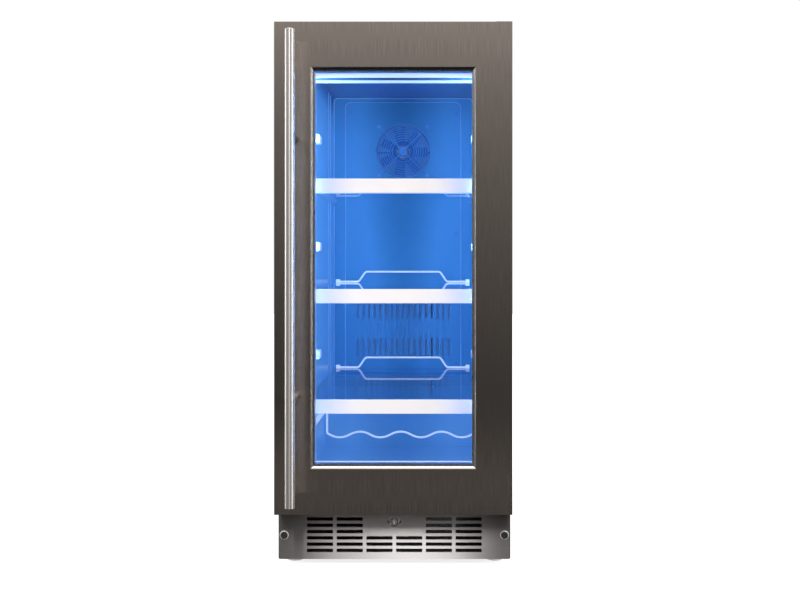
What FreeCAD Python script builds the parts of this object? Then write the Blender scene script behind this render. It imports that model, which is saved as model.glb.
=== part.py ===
"""Undercounter refrigerator with a glass door, in millimetres.

+X is to the right, +Y to the back and +Z up. The origin is on the floor under the middle
of the bounding box, whose front is the handle and whose back is the machine cover.
A depth is a distance behind the front face of the door.
"""
import FreeCAD, Part
import math
import os

Vector = FreeCAD.Vector

# Cabinet
cabinet_width = 378.0
overall_height = 876.0
body_depth = 590.0
foot_height = 10.0
case_sheet = 1.0
frame_sheet = 1.5
pan_sheet = 1.5
liner_wall = 2.0
side_insulation = 34.0
top_insulation = 22.0
floor_insulation = 30.0
back_insulation = 44.0
case_front_depth = 44.0
rear_cover_bulge = 13.0
hump_length = 181.0
hump_height = 122.0
hump_insulation = 34.0
machine_height = 193.5
rear_opening_side = 19.0
rear_opening_bottom = 10.0
rear_opening_top = 7.0

# Door
door_side_gap = 1.0
door_top_gap = 1.0
door_kick_gap = 6.0
door_thickness = 38.0
door_skin_sheet = 1.2
door_skin_return = 34.0
door_stile = 61.0
door_bottom_rail = 76.0
door_top_rail = 74.6
window_bevel = 3.0
glass_front_depth = 4.0
glass_thickness = 4.0
glass_air_gap = 12.0
glass_overlap = 10.0
spacer_width = 11.0
spacer_edge = 1.0
gasket_width = 16.0
gasket_inset = 4.0
seal_gap = 0.3
seal_base = 2.5

# Hinges
hinge_edge_distance = 8.0
hinge_depth = 24.0
hinge_plate = 3.0
hinge_pin_radius = 4.0
hinge_pin_length = 15.0
hinge_bush_wall = 2.0
hinge_plate_gap = 1.0
running_fit = 0.05
hinge_seat = 0.5
hinge_nose = 12.0
hinge_mount_width = 48.0
hinge_mount_gap = 4.0
hinge_mount_depth = 108.0
hinge_tongue_width = 26.0
hinge_pin_end_gap = 1.0
hinge_screw_places = ((14.0, 62.0), (34.0, 62.0), (24.0, 92.0))
lower_hinge_width = 29.0
lower_hinge_drop = 32.0
hinge_kick_gap = 0.8
lower_screw_inset = 20.0
lower_screw_drops = (22.0, 8.0)
lower_screw_head = 1.5

# Handle
handle_radius = 8.0
handle_standoff = 42.0
handle_inset = 32.0
handle_bottom_margin = 23.0
handle_top_margin = 23.5
handle_post_radius = 6.5
handle_post_bottom = 184.0
handle_post_top = 184.0

# Kick plate and lock
kick_height = 78.0
kick_depth = 40.0
kick_sheet = 1.2
kick_side_gap = 1.5
slot_width = 42.4
slot_height = 5.6
slot_pitch_x = 48.3
slot_pitch_z = 10.2
slot_rows = 6
slot_rows_by_lock = 3
slot_first_row = 11.2
kick_screw_inset = 10.0
kick_screw_height = 39.0
lock_height = 60.7
lock_ring_radius = 7.8
lock_barrel_radius = 6.5
lock_plug_radius = 5.0
lock_lug_reach = 11.4
lock_length = 20.0
lock_cam_reach = 15.0

# Shelves
shelf_count = 3
lowest_shelf_height = 143.3
top_compartment_height = 217.4
shelf_trim_height = 23.5
shelf_trim_gap = 5.0
shelf_trim_depth = 62.0
shelf_trim_sheet = 2.0
shelf_trim_return = 16.0
shelf_glass = 5.0
shelf_glass_gap = 6.0
shelf_rear_gap = 68.0
ledge_width = 12.0
ledge_height = 8.0
ledge_front = 82.0
ledge_gap = 0.3
stop_wire_radius = 2.0
stop_wire_end_gap = 7.0
stop_bump_base = 93.7
stop_bump_top = 79.5
stop_bump_rise = 21.0
stop_bend = 8.0
stop_clip_half = 4.0
stop_clip_height = 7.0
clip_reach = 24.0
clip_height = 15.0
clip_length = 24.0
clip_depth = 91.0
clip_above_shelf = 70.6

# Wine rack
rack_front_depth = 75.0
rack_rear_gap = 19.0
rack_wire_radius = 2.0
rack_wave_pitch = 80.4
rack_wave_corner_rise = 20.0
rack_wave_bend = 38.0
rack_wave_height = 19.0
rack_leg_bend = 6.0
rack_rail_height = 81.0
rack_rail_sheet = 3.0
rack_leg_inset = 6.5
rack_rail_gap = 0.5
rack_ledge_width = 3.7
rack_ledge_height = 12.0
rack_rail_overhang = 4.0

# Evaporator and its cover
cover_gap = 44.0
cover_sheet = 2.0
cover_emboss = 3.0
emboss_half_width = 125.0
emboss_top_gap = 11.0
emboss_corner = 13.0
vent_count = 17
vent_pitch = 12.3
vent_width = 5.0
vent_length = 42.2
vent_heights = (41.0, 126.5)
cover_screw_inset = 38.0
cover_screw_top = 35.0
cover_screw_middle = 429.7
cover_screw_bottom = 29.0
cover_boss_radius = 5.0
fan_top_gap = 117.0
fan_size = 120.0
fan_thickness = 25.0
fan_wall = 3.0
fan_blade_gap = 3.0
fan_screw_inset = 7.5
fan_hub_radius = 19.0
fan_pin_radius = 2.0
fan_blades = 7
guard_rings = 8
guard_inner_radius = 18.5
guard_wire_radius = 1.0
guard_spoke_radius = 1.3
guard_lift = 1.5
guard_margin = 1.5
guard_hub_radius = 9.0
guard_hub_half = 0.8
eyelet_rise = 0.6
eyelet_rim = 0.5
blade_chord = 22.0
blade_thickness = 1.6
blade_angle = 32.0
coil_half_width = 100.0
coil_height = 200.0
coil_fan_gap = 25.0
coil_thickness = 34.0
coil_tube_pitch = 32.0
coil_cover_gap = 4.0
coil_bracket_inset = 10.0
coil_bracket_sheet = 1.5

# Controls and lights
control_height = 49.6
control_depth = 48.0
control_wall = 2.0
control_side_gap = 0.5
display_half_width = 30.0
display_height = 20.0
display_proud = 1.5
button_radius = 5.0
button_spacing = 45.0
button_fit = 0.1
button_flange = 1.5
lens_width = 20.0
lens_end_gap = 12.0
lens_front_gap = 6.0
led_strip_thickness = 4.0
led_strip_width = 8.0
led_strip_depth = 50.0
led_strip_margin = 58.0
led_strip_top_gap = 8.0

# Machine compartment
compressor_radius = 66.0
compressor_height = 150.0
compressor_legs = 12.0
compressor_wall_gap = 23.0
compressor_rear_gap = 26.0
compressor_dome = 30.0
plate_half = 70.0
plate_half_depth = 52.0
plate_drop = 2.5
leg_inset = 10.0
leg_radius = 9.0
terminal_half = 22.0
terminal_sink = 14.0
terminal_reach = 16.0
terminal_bottom = 50.0
terminal_height = 50.0
machine_fan_gap = 49.0
machine_fan_foot = 10.0
fan_foot_half = 40.0
condenser_width = 45.0
condenser_length = 160.0
condenser_height = 150.0
condenser_wall_gap = 30.0
condenser_lift = 23.5
condenser_front_gap = 13.0
tube_radius = 4.0
line_fan_gap = 31.0
suction_offset = 40.0
suction_rear_gap = 15.0
suction_can_gap = 21.0
suction_height = 110.0
suction_bend = 12.0
discharge_can_gap = 34.0
discharge_offset = 35.0
discharge_height = 90.0
discharge_front_gap = 8.0
discharge_bend = 5.0
pipe_cover_gap = 17.0
capillary_radius = 1.5
drier_radius = 9.0
drier_length = 80.0
drier_gap = 35.0
drier_offset = 22.0
drier_height = 60.0
drier_dome = 5.0
drier_inlet_radius = 2.5
drier_inlet_drop = 25.0
drier_outlet_drop = 14.0
drier_bend = 6.0
drain_offset = 35.0
drain_gap = 12.0
drain_tube_radius = 6.0
drain_tube_wall = 1.5
drain_pan_height = 20.0
drain_pan_wall = 2.0
electronics_width = 55.0
electronics_height = 40.0
electronics_gap = 10.0
electronics_offset = 25.0
electronics_length = 85.0
electronics_corner = 3.0
foot_radius = 15.0
foot_pad = 8.0
foot_stud_radius = 5.0
foot_stud_length = 37.0
foot_inset = 24.0
foot_front_depth = 75.0
foot_rear_gap = 31.0
foot_nut_radius = 10.0
foot_nut_height = 20.0
gland_bore_radius = 3.6
gland_radius = 7.0
gland_nut_radius = 9.5
gland_height = 50.0
gland_inset = 32.0
gland_barrel = 10.0
gland_collar = 9.0
flange_inset = 2.0
flange_rise = 30.0
tray_left_inset = 60.0
tray_right_inset = 25.0
tray_bottom = 20.0
tray_top = 12.0
louvre_margin = 15.0
louvre_first = 18.0
louvre_pitch = 12.0
louvre_height = 5.0
rear_screw_bottom = 5.0
rear_screw_top = 15.0
rear_screw_inset = 8.0
screw_radius = 1.8
screw_head_radius = 4.0
screw_head_height = 2.0
kick_screw_head_radius = 5.5
kick_screw_head_height = 2.4
short_screw = 10.0
long_screw = 14.0
cover_screw_length = 20.0

# Places that follow from the sizes above
handle_reach = handle_standoff + handle_radius
door_front = handle_reach - (body_depth + handle_reach) / 2
half_case = cabinet_width / 2
half_inside_case = half_case - case_sheet
half_door = half_case - door_side_gap
half_window = half_door - door_stile
half_liner = half_inside_case - side_insulation - liner_wall
case_top = overall_height - hinge_plate
kick_top = foot_height + kick_height
door_bottom = kick_top + door_kick_gap
door_top = case_top - door_top_gap
window_bottom = door_bottom + door_bottom_rail
window_top = door_top - door_top_rail
insulation_bottom = kick_top + 2 * case_sheet
liner_floor = insulation_bottom + floor_insulation + liner_wall
liner_ceiling = case_top - case_sheet - top_insulation - liner_wall
liner_front = case_front_depth + frame_sheet
case_rear = body_depth - rear_cover_bulge - case_sheet
liner_rear = case_rear - back_insulation - liner_wall
hump_front = liner_rear - hump_length
hump_top = liner_floor + hump_height
machine_front = hump_front + liner_wall + hump_insulation
pan_top = foot_height + pan_sheet
machine_top = pan_top + machine_height
glass_rear_depth = glass_front_depth + 2 * glass_thickness + glass_air_gap
seal_rear = case_front_depth - seal_gap
hinge_x = half_door - hinge_edge_distance
fan_bore_radius = fan_size / 2 - fan_wall
fan_screw_spacing = fan_size - 2 * fan_screw_inset
guard_radius = fan_bore_radius + guard_margin
guard_ring_pitch = (guard_radius - guard_inner_radius) / guard_rings
handle_x = handle_inset - half_door
lock_z = foot_height + lock_height
cover_front = liner_rear - cover_gap
cover_rear = cover_front + cover_sheet
emboss_front = cover_front - cover_emboss
fan_z = liner_ceiling - fan_top_gap
coil_top = fan_z - fan_size / 2 - coil_fan_gap
coil_bottom = coil_top - coil_height
shelf_half = half_liner - shelf_trim_gap
glass_half = half_liner - shelf_glass_gap
glass_back = liner_rear - shelf_rear_gap
lowest_shelf = liner_floor + lowest_shelf_height
highest_shelf = liner_ceiling - top_compartment_height
shelf_spacing = (highest_shelf - lowest_shelf) / (shelf_count - 1)
shelf_tops = [lowest_shelf + shelf_spacing * i for i in range(shelf_count)]
shelf_names = ["bottom", "middle", "top"]
control_bottom = liner_ceiling - control_height
control_front = shelf_trim_depth
control_z = control_bottom + control_height * 0.6
compressor_x = plate_half + compressor_wall_gap - half_inside_case
compressor_depth = case_rear - compressor_rear_gap - plate_half
compressor_top = pan_top + compressor_legs + compressor_height
machine_fan_x = compressor_x + compressor_radius + machine_fan_gap
machine_fan_z = pan_top + machine_fan_foot + fan_size / 2
condenser_right = half_inside_case - condenser_wall_gap
condenser_left = condenser_right - condenser_width
condenser_front = machine_front + condenser_front_gap
condenser_bottom = pan_top + condenser_lift
condenser_top = condenser_bottom + condenser_height
drain_x = compressor_x + drain_offset
drain_depth = cover_rear + pipe_cover_gap
suction_x = machine_fan_x + suction_offset
suction_depth = liner_rear - suction_rear_gap
drier_x = condenser_left - drier_gap
capillary_depth = cover_rear + pipe_cover_gap


def point(place):
    """Vector of a place given as x, depth and z."""
    return Vector(place[0], door_front + place[1], place[2])


def block(x, depth, z):
    """Box between pairs of x, depth and z."""
    size = [pair[1] - pair[0] for pair in (x, depth, z)]
    return Part.makeBox(size[0], size[1], size[2], point((x[0], depth[0], z[0])))


def wide(half, depth, z):
    """Box that reaches as far to the left as to the right."""
    return block((-half, half), depth, z)


def rounded(x, depth, z, corner):
    """Box whose four edges along the depth are rounded."""
    shape = block(x, depth, z)
    edges = [edge for edge in shape.Edges if abs(edge.tangentAt(0).y) > 0.5]
    return shape.makeFillet(corner, edges)


def rod(radius, start, end):
    """Cylinder between two places."""
    along = point(end) - point(start)
    return Part.makeCylinder(radius, along.Length, point(start), along)


def joined(shapes):
    """One solid from shapes that touch or overlap."""
    return shapes[0].fuse(shapes[1:]).removeSplitter()


def bent_rod(radius, route, bends):
    """Round wire along straight runs joined by tangent arcs, with one bend radius per corner."""
    corners = [point(place) for place in route]
    edges = []
    start = corners[0]
    for before, corner, after, bend in zip(corners, corners[1:], corners[2:], bends):
        back = (before - corner).normalize()
        ahead = (after - corner).normalize()
        half_turn = (math.pi - back.getAngle(ahead)) / 2
        trim = bend * math.tan(half_turn)
        inward = (back + ahead).normalize()
        crest = corner + inward * (bend / math.cos(half_turn) - bend)
        edges.append(Part.makeLine(start, corner + back * trim))
        edges.append(Part.Arc(corner + back * trim, crest, corner + ahead * trim).toShape())
        start = corner + ahead * trim
    edges.append(Part.makeLine(start, corners[-1]))
    section = Part.Wire(Part.makeCircle(radius, corners[0], corners[1] - corners[0]))
    return Part.Wire(edges).makePipeShell([section], True, False)


def turned(shape, direction, place):
    """Shape built about +Z, turned to a direction and moved to a place."""
    turn = FreeCAD.Rotation(Vector(0, 0, 1), direction)
    shape.Placement = FreeCAD.Placement(point(place), turn)
    return shape


def screw(head_at, towards, head_radius, head_height, length):
    """Round-headed screw: the head's top face is at head_at and it points towards a direction."""
    head = Part.makeCylinder(head_radius, head_height)
    shank = Part.makeCylinder(screw_radius, length)
    return turned(head.fuse(shank).removeSplitter(), towards, head_at)


def outer_case():
    """Sheet steel wrapper: two sides and the top in one folded piece."""
    depth = (case_front_depth, case_rear)
    outside = wide(half_case, depth, (foot_height, case_top))
    return outside.cut(wide(half_inside_case, depth, (foot_height, case_top - case_sheet)))


def back_panel():
    """Rear sheet with an opening into the machine compartment."""
    depth = (case_rear, case_rear + case_sheet)
    sheet = wide(half_case, depth, (foot_height, case_top))
    return sheet.cut(wide(half_case - rear_opening_side, depth,
                          (foot_height + rear_opening_bottom, machine_top - rear_opening_top)))


def face_frame():
    """Steel ring round the opening, with two legs down beside the kick plate's air inlet."""
    depth = (case_front_depth, liner_front)
    sheet = wide(half_inside_case, depth, (foot_height, case_top - case_sheet))
    sheet = sheet.cut(wide(half_liner, depth, (liner_floor, liner_ceiling)))
    return sheet.cut(wide(half_liner, depth, (foot_height, kick_top + case_sheet)))


def compartment_plate():
    """Folded sheet under the insulation: air duct roof, machine compartment front and roof."""
    top = insulation_bottom
    duct = wide(half_inside_case, (liner_front, machine_front + case_sheet), (top - case_sheet, top))
    front = wide(half_inside_case, (machine_front, machine_front + case_sheet),
                 (top - case_sheet, machine_top))
    roof = wide(half_inside_case, (machine_front, case_rear), (machine_top - case_sheet, machine_top))
    return joined([duct, front, roof])


def liner_space(wall):
    """Inside of the liner, or its outside when a wall is given."""
    back = liner_rear + wall
    space = wide(half_liner + wall, (liner_front, back), (liner_floor - wall, liner_ceiling + wall))
    hump = wide(half_liner + wall, (hump_front + wall, back), (liner_floor - wall, hump_top - wall))
    return space.cut(hump)


def both_sides(x, depth, z):
    """The same box on the right and on the left."""
    return [block(x, depth, z), block((-x[1], -x[0]), depth, z)]


def shelf_ledges():
    """Ledges on both side walls that the shelves and the wine rack slide on."""
    ledges = []
    for top in shelf_tops:
        rest = top - shelf_glass - ledge_gap
        ledges += both_sides((half_liner - ledge_width, half_liner), (ledge_front, glass_back + 8.0),
                             (rest - ledge_height, rest))
    rest = liner_floor + rack_rail_height - ledge_gap
    ledges += both_sides((half_liner - rack_ledge_width, half_liner), (led_strip_depth, hump_front),
                         (rest - rack_ledge_height, rest))
    return ledges


def cover_screw_places():
    """x and z of the six screws of the evaporator cover."""
    x = half_liner - cover_screw_inset
    heights = [liner_ceiling - cover_screw_top, liner_floor + cover_screw_middle,
               hump_top + cover_screw_bottom]
    return [(side * x, z) for z in heights for side in (-1, 1)]


def inner_liner():
    """Moulded liner with its ledges, and bosses behind the evaporator cover."""
    shell = liner_space(liner_wall).cut(liner_space(0))
    bosses = [rod(cover_boss_radius, (x, cover_rear, z), (x, liner_rear, z))
              for x, z in cover_screw_places()]
    return joined([shell] + shelf_ledges() + bosses)


def foam_insulation():
    """Foam between the case and the liner, stepped over the machine compartment."""
    foam = wide(half_inside_case, (liner_front, case_rear), (insulation_bottom, case_top - case_sheet))
    foam = foam.cut(liner_space(liner_wall))
    return foam.cut(wide(half_inside_case, (machine_front, case_rear), (insulation_bottom, machine_top)))


def foot_places():
    """x and depth of the four levelling feet, with a name for each."""
    x = half_case - foot_inset
    front = foot_front_depth
    rear = case_rear - foot_rear_gap
    return {"front_left": (-x, front), "front_right": (x, front),
            "rear_left": (-x, rear), "rear_right": (x, rear)}


def base_pan():
    """Floor of the machine compartment and air duct, with a nut for each foot."""
    depth = (liner_front, case_rear)
    tray = wide(half_inside_case, depth, (foot_height, foot_height + foot_nut_height))
    hollow = wide(half_inside_case - pan_sheet, (liner_front, case_rear - pan_sheet),
                  (pan_top, foot_height + foot_nut_height))
    tray = tray.cut(hollow)
    for x, depth in foot_places().values():
        nut = rod(foot_nut_radius, (x, depth, foot_height), (x, depth, pan_top + foot_nut_height))
        tray = tray.fuse(nut)
    for x, depth in foot_places().values():
        hole = rod(foot_stud_radius + running_fit, (x, depth, 0),
                   (x, depth, pan_top + foot_nut_height))
        tray = tray.cut(hole)
    return tray.removeSplitter()


def levelling_foot(x, depth):
    """Round pad on a stud that screws into the base pan's nut."""
    pad = rod(foot_radius, (x, depth, 0), (x, depth, foot_pad))
    pad = pad.makeChamfer(1.5, [edge for edge in pad.Edges if edge.CenterOfMass.z > foot_pad - 0.1])
    stud = rod(foot_stud_radius, (x, depth, foot_pad - 1.0), (x, depth, foot_pad + foot_stud_length))
    return joined([pad, stud])


def kick_slots():
    """Air slots of the kick plate: full columns at the sides, short ones under the lock."""
    half_columns = int((half_case - kick_screw_inset - kick_screw_head_radius) / slot_pitch_x)
    slots = []
    for column in range(-half_columns, half_columns):
        middle = (column + 0.5) * slot_pitch_x
        rows = slot_rows_by_lock if column in (-1, 0) else slot_rows
        for row in range(rows):
            z = foot_height + slot_first_row + row * slot_pitch_z
            x = (middle - slot_width / 2, middle + slot_width / 2)
            slots.append(block(x, (kick_depth - 1, kick_depth + 2 * kick_sheet), (z, z + slot_height)))
    return slots


def kick_plate():
    """Grille below the door, folded back to the face frame at its sides."""
    half = half_case - kick_side_gap
    depth = (kick_depth, case_front_depth)
    z = (foot_height, kick_top)
    tray = wide(half, depth, z)
    tray = tray.cut(wide(half - kick_sheet, (kick_depth + kick_sheet, case_front_depth), z))
    tray = tray.cut(kick_slots())
    lock_hole = rod(lock_barrel_radius, (0, kick_depth - 1, lock_z), (0, kick_depth + 5, lock_z))
    return tray.cut([lock_hole] + case_screws())


def lock_housing():
    """Ring with two lugs in front of the kick plate, and the barrel that the plug turns in."""
    ring = rod(lock_ring_radius, (0, kick_depth - 2, lock_z), (0, kick_depth, lock_z))
    lugs = rounded((-lock_lug_reach, lock_lug_reach), (kick_depth - 1.2, kick_depth),
                   (lock_z - 2.6, lock_z + 2.6), 2.5)
    barrel = rod(lock_barrel_radius, (0, kick_depth, lock_z), (0, kick_depth + lock_length, lock_z))
    bore = rod(lock_plug_radius + running_fit, (0, kick_depth - 3, lock_z),
               (0, kick_depth + lock_length, lock_z))
    return joined([ring, lugs, barrel]).cut(bore)


def lock_plug():
    """Turning plug with a key slot in front and a cam behind the barrel."""
    rear = kick_depth + lock_length + 0.3
    plug = rod(lock_plug_radius, (0, kick_depth - 2.5, lock_z), (0, rear + 2, lock_z))
    cam = block((-4.0, lock_cam_reach), (rear, rear + 2), (lock_z - 4.0, lock_z + 4.0))
    key_slot = block((-0.9, 0.9), (kick_depth - 3, kick_depth + 6), (lock_z - 3.4, lock_z + 3.4))
    return joined([plug, cam]).cut(key_slot)


def window_cutter():
    """Window opening through the door skin with a bevel round its front edge."""
    rectangles = []
    for grow, depth in ((window_bevel, 0), (0, window_bevel)):
        x = half_window + grow
        low = window_bottom - grow
        high = window_top + grow
        corners = [(-x, depth, low), (x, depth, low), (x, depth, high), (-x, depth, high)]
        rectangles.append(Part.makePolygon([point(place) for place in corners + corners[:1]]))
    bevel = Part.makeLoft(rectangles, True, True)
    return bevel.fuse(wide(half_window, (0, glass_front_depth), (window_bottom, window_top)))


def hinge_bush_space():
    """The two hinge bushes as plain cylinders, upper and lower."""
    radius = hinge_pin_radius + hinge_bush_wall
    length = hinge_pin_length + hinge_bush_wall
    upper = rod(radius, (hinge_x, hinge_depth, door_top - length), (hinge_x, hinge_depth, door_top))
    lower = rod(radius, (hinge_x, hinge_depth, door_bottom), (hinge_x, hinge_depth, door_bottom + length))
    return [upper, lower]


def door_skin():
    """Steel front of the door, folded back all round and bevelled at the window."""
    outside = wide(half_door, (0, door_skin_return), (door_bottom, door_top))
    sheet = door_skin_sheet
    inside = wide(half_door - sheet, (sheet, door_skin_return), (door_bottom + sheet, door_top - sheet))
    edge = 2 * window_bevel
    rim = wide(half_window + edge, (sheet, glass_front_depth), (window_bottom - edge, window_top + edge))
    skin = outside.cut(inside).fuse(rim)
    return skin.cut([window_cutter()] + hinge_bush_space()).removeSplitter()


def door_inner_frame():
    """Insulated frame behind the skin, with a pocket for the glass unit."""
    sheet = door_skin_sheet
    body = wide(half_door - sheet, (sheet, door_skin_return), (door_bottom + sheet, door_top - sheet))
    lip = wide(half_door, (door_skin_return, door_thickness), (door_bottom, door_top))
    edge = 2 * window_bevel
    rim = wide(half_window + edge, (0, glass_front_depth), (window_bottom - edge, window_top + edge))
    pocket = wide(half_window + glass_overlap, (glass_front_depth, glass_rear_depth),
                  (window_bottom - glass_overlap, window_top + glass_overlap))
    window = wide(half_window, (0, door_thickness), (window_bottom, window_top))
    return joined([body, lip]).cut([rim, pocket, window] + hinge_bush_space())


def glass_pane(front):
    """One pane of the door's glass unit."""
    return wide(half_window + glass_overlap, (front, front + glass_thickness),
                (window_bottom - glass_overlap, window_top + glass_overlap))


def glass_spacer():
    """Metal spacer between the two panes."""
    front = glass_front_depth + glass_thickness
    depth = (front, front + glass_air_gap)
    outer = glass_overlap - spacer_edge
    inner = outer - spacer_width
    ring = wide(half_window + outer, depth, (window_bottom - outer, window_top + outer))
    return ring.cut(wide(half_window + inner, depth, (window_bottom - inner, window_top + inner)))


def door_gasket():
    """Magnetic seal: a wide base on the door and a narrower bellows towards the cabinet."""
    def ring(depth, outer, inner):
        outside = wide(half_liner + outer, depth, (liner_floor - outer, liner_ceiling + outer))
        return outside.cut(wide(half_liner + inner, depth, (liner_floor - inner, liner_ceiling + inner)))

    outer = gasket_inset + gasket_width
    base = ring((door_thickness, door_thickness + seal_base), outer, gasket_inset)
    bellows = ring((door_thickness + seal_base, seal_rear), outer - 3.0, gasket_inset + 3.0)
    return joined([base, bellows])


def handle_bar():
    """Vertical round bar with chamfered ends."""
    bar = rod(handle_radius, (handle_x, -handle_standoff, door_bottom + handle_bottom_margin),
              (handle_x, -handle_standoff, door_top - handle_top_margin))
    ends = [edge for edge in bar.Edges if isinstance(edge.Curve, Part.Circle)]
    return bar.makeChamfer(1.0, ends)


def handle_post_heights():
    """Heights of the two posts of the handle."""
    return [door_bottom + handle_post_bottom, door_top - handle_post_top]


def handle_posts():
    """Two round posts between the bar and the door skin."""
    posts = [rod(handle_post_radius, (handle_x, -handle_standoff, z), (handle_x, 0, z))
             for z in handle_post_heights()]
    return Part.makeCompound([post.cut(handle_bar()) for post in posts])


def hinge_bushes():
    """Plastic bushes in the door that turn on the hinge pins."""
    bore = rod(hinge_pin_radius + running_fit, (hinge_x, hinge_depth, door_bottom),
               (hinge_x, hinge_depth, door_bottom + hinge_pin_length))
    lower = hinge_bush_space()[1].cut(bore)
    bore = rod(hinge_pin_radius + running_fit, (hinge_x, hinge_depth, door_top - hinge_pin_length),
               (hinge_x, hinge_depth, door_top))
    upper = hinge_bush_space()[0].cut(bore)
    return Part.makeCompound([upper, lower])


def upper_hinge_screws():
    """Flush screws of the upper hinge bracket."""
    return [screw((half_case - inset, depth, overall_height), Vector(0, 0, -1),
                  screw_head_radius, screw_head_height, short_screw)
            for inset, depth in hinge_screw_places]


def lower_hinge_screws():
    """Flush screws of the lower hinge bracket."""
    face = case_front_depth - hinge_plate + hinge_seat
    return [screw((half_case - lower_screw_inset, face, kick_top - drop), Vector(0, 1, 0),
                  screw_head_radius, lower_screw_head, short_screw)
            for drop in lower_screw_drops]


def kick_screws():
    """The two screws that show on the kick plate."""
    front = kick_depth - kick_screw_head_height
    return [screw((side * (half_case - kick_screw_inset), front, foot_height + kick_screw_height),
                  Vector(0, 1, 0), kick_screw_head_radius, kick_screw_head_height, long_screw)
            for side in (-1, 1)]


def machine_cover_screws():
    """Six screws round the rear cover."""
    rear = case_rear + 2 * case_sheet + screw_head_height
    heights = (foot_height + rear_screw_bottom, (foot_height + machine_top) / 2,
               machine_top + rear_screw_top)
    return [screw((side * (half_case - rear_screw_inset), rear, z), Vector(0, -1, 0),
                  screw_head_radius, screw_head_height, short_screw)
            for z in heights for side in (-1, 1)]


def case_screws():
    """Every screw of the steel case."""
    return kick_screws() + upper_hinge_screws() + lower_hinge_screws() + machine_cover_screws()


def upper_hinge_bracket():
    """Flat plate on top of the case that reaches over the door, with a pin down into it."""
    z = (case_top, overall_height)
    mount = block((half_case - hinge_mount_width, half_case),
                  (case_front_depth + hinge_mount_gap, hinge_mount_depth), z)
    tongue = block((half_case - hinge_tongue_width, half_case),
                   (hinge_depth - hinge_nose, case_front_depth + hinge_mount_gap), z)
    pin = rod(hinge_pin_radius, (hinge_x, hinge_depth, door_top - hinge_pin_length + hinge_pin_end_gap),
              (hinge_x, hinge_depth, case_top))
    return joined([mount, tongue, pin]).cut(upper_hinge_screws())


def lower_hinge_bracket():
    """Angle under the door, screwed to the face frame, with a pin up into the door."""
    top = door_bottom - hinge_plate_gap
    x = (half_case - lower_hinge_width, half_case - kick_side_gap - kick_sheet - hinge_kick_gap)
    shelf = block(x, (hinge_depth - hinge_nose, case_front_depth), (top - hinge_plate, top))
    flange = block(x, (case_front_depth - hinge_plate + hinge_seat, case_front_depth),
                   (kick_top - lower_hinge_drop, top))
    pin = rod(hinge_pin_radius, (hinge_x, hinge_depth, top),
              (hinge_x, hinge_depth, door_bottom + hinge_pin_length - hinge_pin_end_gap))
    return joined([shelf, flange, pin]).cut(lower_hinge_screws())


def machine_cover():
    """Louvred rear cover of the machine compartment: a flange with a raised tray."""
    flange_face = case_rear + case_sheet
    z = (foot_height + flange_inset, machine_top + flange_rise)
    flange = wide(half_case - flange_inset, (flange_face, flange_face + case_sheet), z)
    left = tray_left_inset - half_case
    right = half_case - tray_right_inset
    tray_z = (foot_height + tray_bottom, machine_top - tray_top)
    tray = block((left, right), (flange_face, body_depth), tray_z)
    hollow = block((left + case_sheet, right - case_sheet), (flange_face, body_depth - case_sheet),
                   (tray_z[0] + case_sheet, tray_z[1] - case_sheet))
    slots = []
    middle = (left + right) / 2
    columns = ((left + louvre_margin, middle - louvre_pitch / 2),
               (middle + louvre_pitch / 2, right - louvre_margin))
    rows = int((tray_z[1] - tray_z[0] - 2 * louvre_margin) / louvre_pitch)
    for row in range(rows):
        low = tray_z[0] + louvre_first + row * louvre_pitch
        for x in columns:
            slots.append(block(x, (body_depth - 2 * case_sheet, body_depth), (low, low + louvre_height)))
    gland_hole = rod(gland_radius, (gland_x(), flange_face, gland_z()),
                     (gland_x(), flange_face + case_sheet, gland_z()))
    cover = joined([flange, tray]).cut([hollow, gland_hole] + slots + machine_cover_screws())
    return cover


def gland_x():
    """Cord gland beside the raised tray of the rear cover."""
    return gland_inset - half_case


def gland_z():
    """Height of the cord gland."""
    return foot_height + gland_height


def cord_gland():
    """Round bushing through the rear cover, with a collar outside."""
    face = case_rear + 2 * case_sheet
    barrel = rod(gland_radius, (gland_x(), face - gland_barrel, gland_z()), (gland_x(), face, gland_z()))
    collar = rod(gland_nut_radius, (gland_x(), face, gland_z()), (gland_x(), face + gland_collar, gland_z()))
    bore = rod(gland_bore_radius, (gland_x(), face - gland_barrel, gland_z()),
               (gland_x(), face + gland_collar, gland_z()))
    return joined([barrel, collar]).cut(bore)


def cover_screws():
    """Screws of the evaporator cover and of the fan guard."""
    front = emboss_front - screw_head_height
    screws = [screw((x, front, z), Vector(0, 1, 0), screw_head_radius, screw_head_height, cover_screw_length)
              for x, z in cover_screw_places()]
    eyelet_front = front - guard_lift - eyelet_rise
    reach = fan_screw_spacing / 2
    for x in (-reach, reach):
        for z in (fan_z - reach, fan_z + reach):
            screws.append(screw((x, eyelet_front, z), Vector(0, 1, 0), screw_head_radius,
                                screw_head_height, cover_screw_length))
    return screws


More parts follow.
